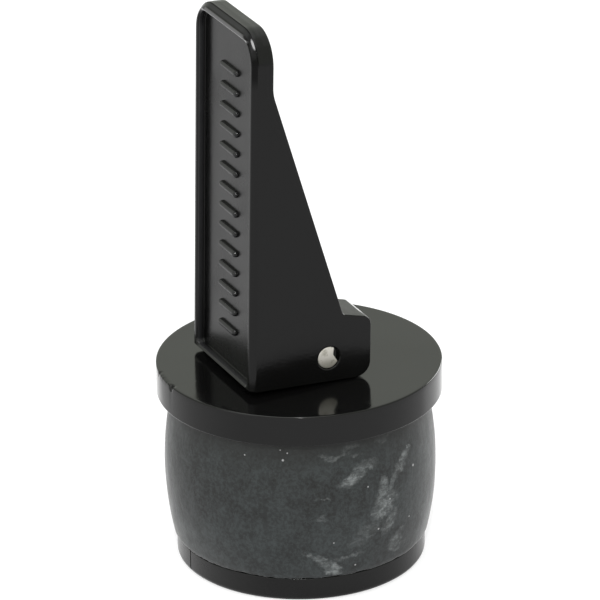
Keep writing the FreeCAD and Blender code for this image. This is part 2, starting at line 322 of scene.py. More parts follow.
def grey(level, tint=(1, 1, 1)):
    return (level * tint[0], level * tint[1], level * tint[2], 1)


# Cap flange

cap = {
    "radius": 26.0,
    "top": 38.0,
    "underside": 32.2,
    "topEdge": 0.25,
    "lowerEdge": 0.3,
    "softEdge": 0.3,
    "tightEdge": 0.2,
    "sides": 576,
    "studHole": 3.3,
    "holeEnd": 32.15,
    "skirtRadius": 8.2,
    "skirtBore": 5.4,
    "skirtEnd": 24.2,
    "dish": 0.12,               # how far the top sinks towards the middle
    "dishRadius": 15,
    "dishShare": 0.45,          # of the dish, still to sink at that radius
    "topRings": [(25.4, 0.001), (25.0, 0.003)],   # radius and drop; they bound the worn rim
    "wearFoot": 36.9,
    "wearIn": 0.7,              # how far in from the rim the wear goes
    "wearDown": 0.9,
    "burrAngles": (168, 184),   # degrees; ragged stretch of the top edge
    "burrScale": 0.9,
    "burrLevel": 0.35,
    "burrDrop": 0.35,
    "burrIn": 0.25,
    "nickAngle": 182.7,
    "nickHalf": 1.3,
    "nickDrop": 0.75,
    "nickIn": 0.55,
    "gateAngle": -10,
    "gateHalf": 5.5,            # degrees; flat where the moulding gate was cut off
    "gateDepth": 0.2,
}


# wear on the rim: a ragged stretch with a nick at its end, and the flat of the gate
def wearRim(piece):
    first, last = cap["burrAngles"]
    gateFlat = cap["radius"] * mm * math.cos(math.radians(cap["gateHalf"]))
    for vertex in piece.data.vertices:
        place = vertex.co
        radius = place.xy.length
        if radius < (cap["radius"] - cap["wearDown"]) * mm:
            continue
        angle = math.degrees(math.atan2(place.y, place.x))
        around = angle % 360
        nearTop = max(0, 1 - (cap["top"] * mm - place.z) / (cap["wearDown"] * mm))
        nearRim = max(0, 1 - (cap["radius"] * mm - radius) / (cap["wearIn"] * mm))
        burr = 0
        if first < around < last:
            burr = max(0, noise.noise(Vector((around * cap["burrScale"], 3, 1))) + cap["burrLevel"])
        nick = max(0, 1 - abs(around - cap["nickAngle"]) / cap["nickHalf"])
        place.z -= (cap["burrDrop"] * burr + cap["nickDrop"] * nick) * nearRim * nearTop * mm
        wanted = radius
        fromGate = angle - cap["gateAngle"]
        if abs(fromGate) < cap["gateHalf"]:
            wanted = max(gateFlat / math.cos(math.radians(fromGate)), radius - cap["gateDepth"] * mm)
        wanted = min(radius - (cap["burrIn"] * burr + cap["nickIn"] * nick) * nearTop * nearRim * mm, wanted)
        place.x *= wanted / radius
        place.y *= wanted / radius


def makeCap():
    middleTop = cap["top"] - cap["dish"]
    soft, tight = cap["softEdge"], cap["tightEdge"]
    outline = roundOutline([
        (cap["studHole"], middleTop, soft),
        (cap["studHole"], cap["holeEnd"], tight),
        (cap["skirtBore"], cap["underside"], tight),
        (cap["skirtBore"], cap["skirtEnd"], soft),
        (cap["skirtRadius"], cap["skirtEnd"], soft),
        (cap["skirtRadius"], cap["underside"], tight),
        (cap["radius"], cap["underside"], cap["lowerEdge"]),
        (cap["radius"], cap["wearFoot"], 0),
        (cap["radius"], cap["top"], cap["topEdge"]),
        *[(radius, cap["top"] - drop, 0) for radius, drop in cap["topRings"]],
        (cap["dishRadius"], middleTop + cap["dishShare"] * cap["dish"], 0),
    ])
    piece = lathe("cap_moulding", scaled(outline), cap["sides"])
    wearRim(piece)
    finishShading(piece)
    return piece


def capFinish():
    finish = Finish("black nylon, polished")
    haze = finish.noise(60, 3, 0.5)
    scratches = finish.noise(900, 2, 0.5, stretch=(1, 0.06, 1))
    ripple = finish.noise(35, 2, 0.4)
    roughness = 0.1 + 0.05 * haze.rise(0.4, 0.7) + 0.05 * scratches.rise(0.6, 0.7)
    colour = finish.mixColour(haze, grey(0.002), grey(0.004))
    return finish.surface(Base_Color=colour, Roughness=roughness, IOR=1.33,
                          Normal=finish.bump(ripple, 0.35, 0.0004))


capPiece = makeCap()
capPiece.data.materials.append(capFinish())
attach(capPiece, "cap")
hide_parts("cap_flange")
print("cap done")


# Rubber bung

bung = {
    "bottom": 4.5,
    "top": 32.2,
    "endRadius": 23.2,
    "middleRadius": 24.8,
    "bore": 8.5,
    "edge": 0.6,
    "edgeSteps": 4,
    "rows": 48,
    "sides": 360,
    "skinFrom": 20.0,         # the surface beyond this radius is uneven
    "unevenness": 0.06,
    "lumps": [(120, 1), (320, 0.5)],   # scales of the noise and their shares
    "waves": [(9, 1), (26, 0.6)],
    "footWave": 0.3,          # how far the moulded ends run unevenly
    "footReach": 1.4,
    "topWave": 0.4,
    "topReach": 1.0,
    "bulge": 0.0083,          # the radius falls by this times the square of the distance from the middle
    "shade": (25.5, 32),      # heights between which the rubber darkens, as painted shade under the flange
    "scratchHeight": 23.5,
    "scratchHalf": (0.06, 0.2),
    "scratchFrom": (22.6, 23.4),
    "shortestShare": 0.852,   # of its height, when the lever is folded
}


# noise of several scales, each with its share
def layered(place, layers):
    return sum(share * noise.noise(place * scale) for scale, share in layers)


def makeBung():
    height = bung["top"] - bung["bottom"]
    swell = bung["middleRadius"] - bung["endRadius"]
    barrel = ((height / 2) ** 2 + swell ** 2) / (2 * swell)
    middle = (bung["top"] + bung["bottom"]) / 2
    edge, steps = bung["edge"], bung["edgeSteps"]
    inner = bung["endRadius"] - edge
    points = [(bung["bore"], bung["bottom"])]
    for step in range(steps):
        angle = math.pi / 2 * step / steps
        points.append((inner + edge * math.sin(angle), bung["bottom"] + edge * (1 - math.cos(angle))))
    for row in range(bung["rows"] + 1):
        z = bung["bottom"] + edge + (height - 2 * edge) * row / bung["rows"]
        radius = bung["middleRadius"] - barrel + math.sqrt(barrel ** 2 - (z - middle) ** 2)
        points.append((radius, z))
    for step in range(1, steps + 1):
        angle = math.pi / 2 * step / steps
        points.append((inner + edge * math.cos(angle), bung["top"] - edge * (1 - math.sin(angle))))
    points.append((bung["bore"], bung["top"]))
    piece = lathe("bung_rubber", scaled(points), bung["sides"])
    for vertex in piece.data.vertices:
        place = vertex.co
        if place.xy.length > bung["skinFrom"] * mm:
            lump = layered(place, bung["lumps"])
            flat = Vector((place.x, place.y, 0)).normalized()
            wave = layered(flat, bung["waves"])
            fromFoot = max(0, 1 - (place.z / mm - bung["bottom"]) / bung["footReach"])
            fromTop = max(0, 1 - (bung["top"] - place.z / mm) / bung["topReach"])
            up = max(0, wave + 0.1) * fromFoot * bung["footWave"]
            down = max(0, wave - 0.15) * fromTop * bung["topWave"]
            place.z += (up - down) * mm
            place += flat * (lump - 0.4) * bung["unevenness"] * mm
    finishShading(piece, 50)
    return piece


# smears left by the tube: degrees round the bung, height, slope in degrees, half length, half width, strength
smears = [
    (-92.5, 24.4, 26, 3.6, 1.3, 1.0),
    (-88.0, 26.2, 14, 2.6, 0.9, 0.6),
    (-67.2, 24.2, 48, 4.4, 1.3, 0.75),
    (-73.0, 21.5, 60, 3.0, 1.0, 0.5),
    (-77.0, 17.6, 30, 4.2, 2.4, 0.95),
    (-78.4, 20.8, 82, 3.8, 1.3, 0.8),
    (-74.0, 13.8, 55, 3.4, 1.6, 0.7),
    (-106.8, 8.9, -20, 4.6, 0.7, 0.95),
    (-103.4, 7.4, -26, 3.4, 1.2, 1.0),
    (-100.6, 5.9, -8, 2.4, 0.9, 0.9),
    (-96.0, 8.6, 6, 4.6, 0.6, 0.55),
    (-69.6, 9.4, 58, 3.4, 1.8, 0.7),
    (-66.2, 7.6, 20, 2.2, 0.8, 0.6),
    (-92.4, 30.3, 12, 2.6, 0.7, 0.8),
    (-77.0, 30.2, 6, 2.0, 0.9, 0.9),
    (-72.4, 31.2, 32, 1.8, 0.5, 0.7),
    (-104.8, 28.9, -12, 1.8, 0.6, 0.7),
    (-99.4, 28.8, 16, 3.0, 0.7, 0.75),
    (-90.6, 28.6, 4, 1.8, 0.6, 0.5),
    (-83.6, 26.2, 10, 2.0, 1.1, 0.6),
    (-105.5, 21.1, -4, 2.4, 0.3, 0.5),
    (-106.0, 17.2, 0, 1.6, 0.8, 0.3),
    (-86.0, 13.2, 40, 5.0, 2.4, 0.3),
    (-62.0, 27.0, -30, 1.0, 0.4, 1.0),
    (150.0, 17.0, 35, 5.0, 1.6, 0.7),
    (143.0, 13.0, 60, 3.4, 1.2, 0.6),
    (60.0, 21.0, -30, 5.0, 1.4, 0.7),
    (20.0, 12.0, 15, 4.0, 1.2, 0.7),
]

# pale specks: x, y, z, radius
specks = [
    (4.1, -24.2, 13.1, 0.24), (11.5, -21.7, 12.9, 0.22), (6.6, -23.9, 18.4, 0.2),
    (1.9, -24.6, 22.1, 0.2), (-4.7, -24.0, 12.1, 0.18), (-0.3, -23.6, 6.6, 0.22),
    (-12.8, -20.2, 28.6, 0.28), (-12.0, -20.4, 29.9, 0.18), (-18.1, -15.5, 28.8, 0.18),
    (-13.0, -19.6, 30.4, 0.16), (12.6, -21.2, 22.7, 0.34),
]


def bungFinish():
    finish = Finish("rubber, scuffed")
    mottle = finish.noise(520, 6, 0.6, stretch=(1, 1, 0.7), distortion=0.5)
    cloud = finish.noise(110, 4, 0.55, shift=(3, 1, 2))
    wisps = finish.noise(420, 7, 0.75, stretch=(1, 1, 1.8), distortion=0.6, shift=(1, 4, 2))
    grain = finish.noise(2600, 3, 0.6)
    fleck = finish.noise(1500, 3, 0.7, shift=(2, 2, 5))
    tone = 0.3 * mottle.rise(0.35, 0.65) + 0.3 * cloud.rise(0.38, 0.62) + 0.4 * fleck.rise(0.43, 0.58)
    colour = finish.mixColour(tone, grey(0.001, (0.86, 1.04, 1.05)), grey(0.028, (0.84, 1.05, 1.07)))
    place = finish.warped(420, 3.2 * mm)
    middle = (bung["top"] + bung["bottom"]) / 2
    smear = None
    for around, height, slope, length, width, strength in smears:
        turn, climb = math.radians(around), math.radians(slope)
        radius = bung["middleRadius"] - bung["bulge"] * (height - middle) ** 2
        centre = (radius * math.cos(turn), radius * math.sin(turn), height)
        direction = (-math.sin(turn) * math.cos(climb), math.cos(turn) * math.cos(climb), math.sin(climb))
        mark = strength * finish.streak(place, centre, direction, length, width)
        smear = mark if smear is None else smear.atLeast(mark)
    smear = smear * (0.25 + 0.75 * wisps.rise(0.42, 0.62)) * (0.6 + 0.4 * fleck.rise(0.4, 0.6))
    bloom = wisps.rise(0.55, 0.75) * cloud.rise(0.45, 0.7)
    colour = finish.mixColour((0.85 * smear).atLeast(0.1 * bloom), colour, grey(0.22, (0.93, 1, 0.99)))
    # painted shade: the rubber darkens towards the top, under the flange's overhang
    shade = finish.z.past(*bung["shade"])
    colour = finish.mixColour(0.85 * shade, colour, grey(0.002, (1, 0.96, 1.04)))
    fromScratch = (finish.z - bung["scratchHeight"] * mm).size()
    scratch = (1 - fromScratch.past(*bung["scratchHalf"])) * (0 - finish.x).past(*bung["scratchFrom"])
    colour = finish.mixColour(0.7 * scratch, colour, grey(0.004))
    colour = finish.mixColour(0.7 * finish.spots(specks), colour, grey(0.45))
    return finish.surface(Base_Color=colour, Roughness=0.6 - 0.2 * mottle, IOR=1.45,
                          Sheen_Weight=0.25, Sheen_Roughness=0.28,
                          Normal=finish.bump(mottle * 0.7 + grain * 0.15, 0.4, 0.0002))


bungPiece = makeBung()
bungPiece.data.materials.append(bungFinish())
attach(bungPiece, "base")
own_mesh(bungPiece)
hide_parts("rubber_bung")
print("bung done")


# Base disc

base = {
    "radius": 22.8,
    "thickness": 4.5,
    "edge": 1.0,
    "softEdge": 0.3,
    "tightEdge": 0.2,
    "hubRadius": 8.2,
    "hubTop": 10.0,
    "hole": 3.3,
    "pocketFlats": 10.2,
    "pocketTop": 6.5,
    "pocketChamfer": 0.3,
    "sides": 192,
    "slitAngle": -177.4,
    "slitWidth": 0.3,
    "slitDepth": 1.0,
    "slitFoot": 0.6,
    "cutRadius": 24,          # the slit's cutter ends past the side and the top
    "cutTop": 5,
}


def hexagonPoints(acrossFlats):
    corner = acrossFlats / math.sqrt(3)
    angles = [math.radians(60 * side) for side in range(6)]
    return [(corner * math.cos(angle), corner * math.sin(angle)) for angle in angles]


def makeBase():
    soft, tight = base["softEdge"], base["tightEdge"]
    outline = roundOutline([
        (base["hole"], 0, 0),
        (base["radius"], 0, base["edge"]),
        (base["radius"], base["thickness"], tight),
        (base["hubRadius"], base["thickness"], soft),
        (base["hubRadius"], base["hubTop"], soft),
        (base["hole"], base["hubTop"], tight),
    ])
    piece = lathe("base_moulding", scaled(outline), base["sides"])
    chamfer = base["pocketChamfer"]
    stations = [(-1, 2 * (1 + chamfer)), (chamfer, 0), (base["pocketTop"], 0)]
    flats = base["pocketFlats"]
    tool = loftAlong("pocket", 2, [(z, hexagonPoints(flats + wider)) for z, wider in stations])
    combine(piece, tool, "DIFFERENCE")
    half, inner, outer = base["slitWidth"] / 2, base["radius"] - base["slitDepth"], base["cutRadius"]
    slit = [(inner, -half), (outer, -half), (outer, half), (inner, half)]
    tool = loftAlong("slit", 2, [(z, slit) for z in (base["slitFoot"], base["cutTop"])])
    tool.data.transform(Matrix.Rotation(math.radians(base["slitAngle"]), 4, "Z"))
    combine(piece, tool, "DIFFERENCE")
    finishShading(piece)
    return piece


def baseFinish():
    finish = Finish("black nylon, base")
    haze = finish.noise(80, 4, 0.55, shift=(2, 0, 1))
    grain = finish.noise(1800, 2, 0.5)
    colour = finish.mixColour(haze, grey(0.002), grey(0.004))
    return finish.surface(Base_Color=colour, Roughness=0.24 + 0.12 * haze.rise(0.35, 0.7), IOR=1.33,
                          Normal=finish.bump(grain * 0.3 + haze, 0.12, 0.0004))


basePiece = makeBase()
basePiece.data.materials.append(baseFinish())
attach(basePiece, "base")
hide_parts("base_disc")
print("base done")


# Lever

pinHeight = 42.95
lean = 1.5
lever = {
    "front": -15.4,
    "halfWidth": 12.8,
    "foot": -4.75,
    "footRise": 0.5,         # of the foot's front corner above its back corner
    "top": 62.9,
    "topCorner": 6.0,
    "bevel": 0.9,
    "rim": 1.05,
    "lip": 1.1,
    "panelDepth": 1.5,
    "panelCorner": 2.8,
    "panelRound": 0.5,       # of the panel's mouth
    "panelFillet": 0.12,     # between its walls and its floor
    "footCorner": 0.9,
    "tabBack": -11.5,
    "tabFoot": 51.9,
    "tabBlend": 8.0,
    "shoulder": (2.7, 8.0),
    "shoulderRound": 0.8,
    "heelBack": 8.3,
    "heelTop": 6.7,
    "heelCorner": 2.8,
    "heelRound": 1.8,
    "slotHalf": 4.2,
    "slotFront": -5.3,
    "channelFront": -9.7,
    "channelFoot": 16.0,
    "channelEnd": 38.0,
    "channelRunOut": 43.0,
    "channelBend": -2.7,
    "channelRound": 1.5,
    "pinHole": 2.15,
    "holeSides": 40,
    "edge": 0.22,
    "edgeSteps": 3,
    "blankFront": -18,       # the blank and the cutters end past the faces that they make
    "blankBack": 20,
    "blankFoot": -10,
    "blankTop": 66,
    "blankHalf": 15,
    "slotFoot": -9,
    "slotBack": 14,
}


# puts a form made about the pin axis in its place
def placeOnPin(piece):
    turn = Matrix.Rotation(math.radians(lean), 4, "Y")
    piece.data.transform(Matrix.Translation((0, 0, pinHeight * mm)) @ turn)


def makeLever():
    slope = lever["footRise"] / (lever["heelBack"] - lever["front"])
    ends = (-lever["blankHalf"], lever["blankHalf"])
    side = roundOutline([
        (lever["blankFront"], lever["foot"] + slope * (lever["heelBack"] - lever["blankFront"]), 0),
        (lever["heelBack"], lever["foot"], lever["heelCorner"]),
        (lever["heelBack"], lever["heelTop"], lever["heelRound"]),
        (*lever["shoulder"], lever["shoulderRound"]),
        (lever["tabBack"], lever["tabFoot"], lever["tabBlend"]),
        (lever["tabBack"], lever["blankTop"], 0),
        (lever["blankFront"], lever["blankTop"], 0),
    ], 8)
    piece = loftAlong("lever_moulding", 1, [(y, side) for y in ends])

    def frontOutline(inset):
        half, corner = lever["halfWidth"] - inset, lever["topCorner"] - inset
        foot, top = lever["blankFoot"], lever["top"] - inset
        corners = [(-half, foot, 0), (half, foot, 0), (half, top, corner), (-half, top, corner)]
        return roundOutline(corners, 12)

    front, bevel = lever["front"], lever["bevel"]
    stations = [(front, bevel), (front + bevel, 0), (lever["blankBack"], 0)]
    tool = loftAlong("front", 0, [(x, frontOutline(inset)) for x, inset in stations])
    combine(piece, tool, "INTERSECT")

    rounding = lever["channelRound"]
    slot = roundOutline([
        (lever["slotFront"], lever["slotFoot"], 0),
        (lever["slotBack"], lever["slotFoot"], 0),
        (lever["slotBack"], lever["channelRunOut"], 0),
        (lever["channelBend"], lever["channelRunOut"], rounding),
        (lever["channelFront"], lever["channelEnd"], rounding),
        (lever["channelFront"], lever["channelFoot"], rounding),
        (lever["slotFront"], lever["shoulder"][1], rounding),
    ], 5)
    tool = loftAlong("slot", 1, [(y, slot) for y in (-lever["slotHalf"], lever["slotHalf"])])
    combine(piece, tool, "DIFFERENCE")

    radius, count = lever["pinHole"], lever["holeSides"]
    angles = [math.tau * step / count for step in range(count)]
    hole = [(radius * math.cos(angle), radius * math.sin(angle)) for angle in angles]
    combine(piece, loftAlong("hole", 1, [(y, hole) for y in ends]), "DIFFERENCE")
    bevelEdges(piece, lever["edge"] * mm, lever["edgeSteps"])

    def panelOutline(inset):
        half = lever["halfWidth"] - lever["bevel"] - lever["rim"] - inset
        top = lever["top"] - lever["bevel"] - lever["rim"] - inset
        foot = lever["foot"] + lever["lip"] + inset
        corner = max(lever["panelCorner"] - inset, 0.3)
        footCorner = max(lever["footCorner"] - inset, 0.08)
        return roundOutline([(-half, foot, footCorner), (half, foot, footCorner),
                             (half, top, corner), (-half, top, corner)], 8)

    floor = front + lever["panelDepth"]
    mouth, fillet = lever["panelRound"], lever["panelFillet"]
    stations = [(front - 1, -mouth)]
    for step in range(7):
        angle = math.pi / 2 * step / 6
        stations.append((front + mouth * (0.98 - math.cos(angle)), mouth * (math.sin(angle) - 1)))
    for step in range(4):
        angle = math.pi / 2 * step / 3
        stations.append((floor - fillet + fillet * math.sin(angle), fillet * (1 - math.cos(angle))))
    tool = loftAlong("panel", 0, [(x, panelOutline(inset)) for x, inset in stations])
    combine(piece, tool, "DIFFERENCE")
    finishShading(piece)
    placeOnPin(piece)
    return piece


# where dust, painted highlights and painted shade lie: limits for past() and band(); depths count from the
# front face, the rest from the pin's axis or from the middle of the lever
marks = {
    "insidePanel": (11.2, 11.6),
    "panelFloor": (1.2, 1.45, 2.3, 2.6),
    "panelWall": (0.1, 0.4, 1.4),
    "ledgeDepth": (0.2, 0.5, 1.35, 1.5),
    "ledgeTop": (-4.2, -3.5),
    "topFace": (62, 62.6),
    "topFaceDepth": (0.9, 1.1),
    "heelX": (2.6, 3),
    "heelTop": (6, 6.6),
    "heelSide": (12.5, 12.7),
    "heelEdge": (7.0, 7.2, 7.6, 7.9),
    "heelEdgeTop": (6.1, 6.3),
    "heelEdgeEnd": (-11.5, -9.5),
    "panelTop": (60.9, 61.05),
    "panelTopDepth": (0.5, 0.6),
    "bandTop": (61.95, 62.05),
    "bandEnd": (7.8, 8.6),
    "lineTop": (61.25, 61.4),
    "lineEnd": (9.2, 10.2),
    # centre from the frame's origin, direction, half length, half width
    "glint": ((-13.1, -10.83, 104.38), (0, 0.719, 0.695), 1.4, 0.3),
    "upperEnd": (57, 59),
    "crease": (0.78, 0.86, 0.98, 1.06),
    "bevelFace": (0.02, 0.1, 0.8, 0.9),
    "cornerSide": (8.2, 9.6),
    "cornerHeight": (53, 56),
}


def leverFinish():
    finish = Finish("black nylon, lever")
    haze = finish.noise(80, 4, 0.55)
    grain = finish.noise(1800, 2, 0.5)
    blotch = finish.noise(260, 4, 0.6, shift=(1, 2, 0))
    cutMarks = finish.noise(900, 3, 0.6, stretch=(1, 0.04, 0.3))

    turn = math.radians(lean)
    x, y, z = finish.x, finish.y, finish.z - pinHeight * mm
    along = x * math.cos(turn) - z * math.sin(turn)
    height = z + along * math.sin(turn)
    depth = along - lever["front"] * mm
    side = y.size()

    inside = 1 - side.past(*marks["insidePanel"])
    onFloor = depth.band(*marks["panelFloor"]) * inside
    mouth, wallStart, wallEnd = marks["panelWall"]
    fade = 1 - 0.8 * depth.past(wallStart, wallEnd)
    onWall = depth.past(mouth, wallStart) * fade * inside * (1 - onFloor)
    onLedge = depth.band(*marks["ledgeDepth"]) * inside * (1 - height.past(*marks["ledgeTop"]))
    onTop = z.past(*marks["topFace"]) * depth.past(*marks["topFaceDepth"])
    onHeel = x.past(*marks["heelX"]) * z.past(*marks["heelTop"]) * (1 - side.past(*marks["heelSide"]))
    # dust that the top face and heel hold in their cut marks, and painted light on the panel's walls and
    # ledge: lighter at the mouth and fading to painted shade deeper in
    dustAndPaintedLight = (0.45 * onWall).atLeast(0.35 * onLedge)
    dustAndPaintedLight = dustAndPaintedLight.atLeast(0.3 * onTop * cutMarks.rise(0.3, 0.7))
    dustAndPaintedLight = dustAndPaintedLight.atLeast(0.22 * onHeel * cutMarks.rise(0.35, 0.6))
    colour = finish.mixColour(haze, grey(0.0015), grey(0.003))
    colour = finish.mixColour(dustAndPaintedLight * (0.75 + 0.4 * blotch), colour, grey(0.05, (0.97, 0.98, 1.03)))

    # painted highlight: a pale line along the heel's rounded top back edge
    heelEdge = along.band(*marks["heelEdge"]) * z.past(*marks["heelEdgeTop"]) * y.past(*marks["heelEdgeEnd"])
    colour = finish.mixColour(0.8 * heelEdge, colour, grey(0.75))
    # painted highlight: a pale line along the top of the panel's mouth, fainter in a band just above it
    topBand = (1 - height.past(*marks["bandTop"])) * (1 - side.past(*marks["bandEnd"]))
    topLine = (1 - height.past(*marks["lineTop"])) * (1 - side.past(*marks["lineEnd"]))
    topEdge = height.past(*marks["panelTop"]) * (1 - depth.past(*marks["panelTopDepth"]))
    topEdge = topEdge * topLine.atLeast(0.25 * topBand)
    # painted highlight: a short pale glint on the bevel of the near top corner
    glint = finish.streak(finish.place, *marks["glint"])
    colour = finish.mixColour((0.28 * topEdge).atLeast(glint), colour, grey(0.8))

    # painted shade: a dark line in the crease between the bevel and the top face, and darker bevels along the
    # top and at the near top corner
    upper = z.past(*marks["upperEnd"])
    crease = depth.band(*marks["crease"]) * upper
    bevel = depth.band(*marks["bevelFace"])
    corner = (0 - y).past(*marks["cornerSide"]) * z.past(*marks["cornerHeight"])
    paintedShade = (0.8 * crease).atLeast(bevel * upper * 0.3).atLeast(bevel * corner * 0.6)

    roughness = 0.14 + 0.1 * haze.rise(0.35, 0.7) + 0.06 * onFloor + 0.15 * onTop + 0.2 * onHeel
    relief = grain * 0.3 + haze + onHeel * cutMarks * 0.6
    return finish.surface(dull=paintedShade, Base_Color=colour, Roughness=roughness, IOR=1.31,
                          Normal=finish.bump(relief, 0.12, 0.0004))


leverPiece = makeLever()
leverPiece.data.materials.append(leverFinish())
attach(leverPiece, "lever_arm")
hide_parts("lever")
print("lever done")


# Grip ribs in the panel

ribs = {
    "count": 14,
    "first": 3.5,
    "pitch": 3.8,
    "length": 7.0,
    "halfThickness": 0.65,
    "rise": 0.8,
    "rings": 41,
    "sides": 20,
    "tip": 0.0004,           # least square of the relative thickness, at the ends
}


# a geometry node tree with named inputs
class Tree(Graph):
    def __init__(self, name, inputs):
        super().__init__(bpy.data.node_groups.new(name, "GeometryNodeTree"))
        self.tree.interface.new_socket("Geometry", in_out="OUTPUT", socket_type="NodeSocketGeometry")
        self.identifiers = {}
        for key, (kind, value) in inputs.items():
            socket = self.tree.interface.new_socket(key, in_out="INPUT", socket_type=kind)
            if value is not None:
                socket.default_value = value
            self.identifiers[key] = socket.identifier
        self.inputs = self.add("NodeGroupInput", {}, {}, None)
        self.output = self.add("NodeGroupOutput", {}, {}, None)

    def wire(self, key):
        return Wire(self, self.inputs.outputs[key])

    def vector(self, x, y, z):
        return self.add("ShaderNodeCombineXYZ", {}, [x, y, z])


def makeRibs(material):
    tree = Tree("Ribs", {
        "Count": ("NodeSocketInt", 1),
        "Pitch": ("NodeSocketFloat", 0.0),
        "Length": ("NodeSocketFloat", 0.0),
        "Radius": ("NodeSocketFloat", 0.0),
        "Flatness": ("NodeSocketFloat", 1.0),
        "Material": ("NodeSocketMaterial", None),
    })
    length, radius = tree.wire("Length"), tree.wire("Radius")
    half = length * 0.5
    line = tree.add("GeometryNodeCurvePrimitiveLine", {},
                    {"Start": tree.vector(0, 0 - half, 0), "End": tree.vector(0, half, 0)})
    line = tree.add("GeometryNodeResampleCurve", {}, {"Curve": line, "Count": ribs["rings"]})
    along = tree.add("GeometryNodeSplineParameter", {}, {}, "Factor")
    fromEnd = along.atMost(1 - along) * length / radius
    inwards = 1 - fromEnd.atMost(1.0)
    thickness = (1 - inwards * inwards).atLeast(ribs["tip"]).root() * radius
    line = tree.add("GeometryNodeSetCurveRadius", {}, {"Curve": line, "Radius": thickness})
    ring = tree.add("GeometryNodeCurvePrimitiveCircle", {},
                    {"Resolution": ribs["sides"], "Radius": 1.0}, "Curve")
    bar = tree.add("GeometryNodeCurveToMesh", {},
                   {"Curve": line, "Profile Curve": ring, "Fill Caps": True, "Scale": thickness})
    flat = tree.vector(tree.wire("Flatness"), 1, 1)
    bar = tree.add("GeometryNodeTransform", {}, {"Geometry": bar, "Scale": flat})
    step = tree.vector(0, 0, tree.wire("Pitch"))
    row = tree.add("GeometryNodeMeshLine", {}, {"Count": tree.wire("Count"), "Offset": step})
    bars = tree.add("GeometryNodeInstanceOnPoints", {}, {"Points": row, "Instance": bar})
    bars = tree.add("GeometryNodeRealizeInstances", {}, {"Geometry": bars})
    bars = tree.add("GeometryNodeSetShadeSmooth", {}, {"Geometry": bars})
    bars = tree.add("GeometryNodeSetMaterial", {}, {"Geometry": bars, "Material": tree.wire("Material")})
    tree.feed(tree.output.inputs[0], bars)

    piece = newPiece("grip_ribs", bpy.data.meshes.new("grip_ribs"))
    modifier = piece.modifiers.new("Ribs", "NODES")
    modifier.node_group = tree.tree
    values = {
        "Count": ribs["count"],
        "Pitch": ribs["pitch"] * mm,
        "Length": ribs["length"] * mm,
        "Radius": ribs["halfThickness"] * mm,
        "Flatness": ribs["rise"] / ribs["halfThickness"],
        "Material": material,
    }
    for key, value in values.items():
        modifier[tree.identifiers[key]] = value
    applyModifiers(piece)
    floor = lever["front"] + lever["panelDepth"]
    piece.data.transform(Matrix.Translation((floor * mm, 0, ribs["first"] * mm)))
    placeOnPin(piece)
    return piece


ribPiece = makeRibs(leverPiece.data.materials[0])
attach(ribPiece, "lever_arm")
print("ribs done")


# Steel parts

steel = {
    "pinRadius": 2.1,
    "pinHalf": 12.55,
    "pinEdge": 0.2,
    "endFace": (12.3, 12.43),
    "stainTop": (-1.6, 0.4),      # from the pin's axis
    # outline of the piece missing from the near end: x, z, radius
    "bite": [(1.2, 2.8, 0), (0.92, 0.43, 0.35), (2.4, -2.1, 0), (3.4, -1.5, 0), (3.4, 2.8, 0)],
    "biteDepth": 1.2,
    "studRadius": 3.0,
    "studEnd": 1.0,
    "studBevel": 0.7,
    "eyeRadius": 4.4,
    "eyeHalf": 4.0,
    "eyeEdge": 0.5,
    "threadPitch": 1.0,
    "threadDepth": 0.5,
    "threadTop": 16.0,
    "threadRows": 120,
    "nutFlats": 10.0,
    "nutFoot": 1.5,
    "nutTop": 6.5,
    "nutBore": 3.05,
    "boreTop": 8.0,
    "nutEdge": 0.1,
    "nutChamfer": (0.8, 0.6),     # in from the corners, down from the faces
}


def steelFinish(name, level, roughness):
    finish = Finish(name)
    streaks = finish.noise(700, 3, 0.6, stretch=(1, 0.2, 1))
    stain = finish.noise(900, 4, 0.6)
    clean, stained = grey(level, (1, 0.98, 0.94)), grey(level * 0.75, (1, 0.97, 0.92))
    colour = finish.mixColour(stain.rise(0.35, 0.7), clean, stained)
    return finish.surface(Base_Color=colour, Metallic=1.0, Roughness=roughness + 0.12 * stain,
                          Normal=finish.bump(streaks, 0.25, 0.00008))


# the end faces are rubbed bright and stained towards the bottom, the rest is dark with grease
def pinFinish():
    finish = Finish("pin steel, dull")
    stain = finish.noise(700, 4, 0.6)
    streaks = finish.noise(900, 3, 0.6, stretch=(1, 0.2, 0.4))
    face = finish.y.size().past(*steel["endFace"])
    low = 1 - finish.z.past(*[pinHeight + height for height in steel["stainTop"]])
    stained = (0.7 * low).atLeast(stain.rise(0.5, 0.75))
    bright = finish.mixColour(stained, grey(0.72, (1, 0.96, 0.9)), grey(0.36, (1, 0.95, 0.8)))
    colour = finish.mixColour(face, grey(0.02), bright)
    return finish.surface(Base_Color=colour, Metallic=0.9 * face, Roughness=0.42 + 0.2 * stain,
                          Normal=finish.bump(streaks, 0.3, 0.0001))


# solid round bar along Y with rounded ends, its middle at the origin
def crossBar(name, radius, half, edge, sides):
    corners = [(radius, -half, edge), (radius, half, edge), (0, half, 0), (0, -half, 0)]
    rounded = roundOutline(corners, 4)[:-2]
    piece = lathe(name, scaled([(0, -half), *rounded, (0, half)]), sides)
    piece.data.transform(Matrix.Rotation(math.radians(90), 4, "X"))
    return piece


def makePin():
    half = steel["pinHalf"]
    piece = crossBar("pivot_pin_steel", steel["pinRadius"], half, steel["pinEdge"], 64)
    bite = roundOutline(steel["bite"])
    tool = loftAlong("bite", 1, [(y, bite) for y in (-half - 1, -half + steel["biteDepth"])])
    combine(piece, tool, "DIFFERENCE")
    piece.data.transform(Matrix.Translation((0, 0, pinHeight * mm)))
    finishShading(piece)
    return piece


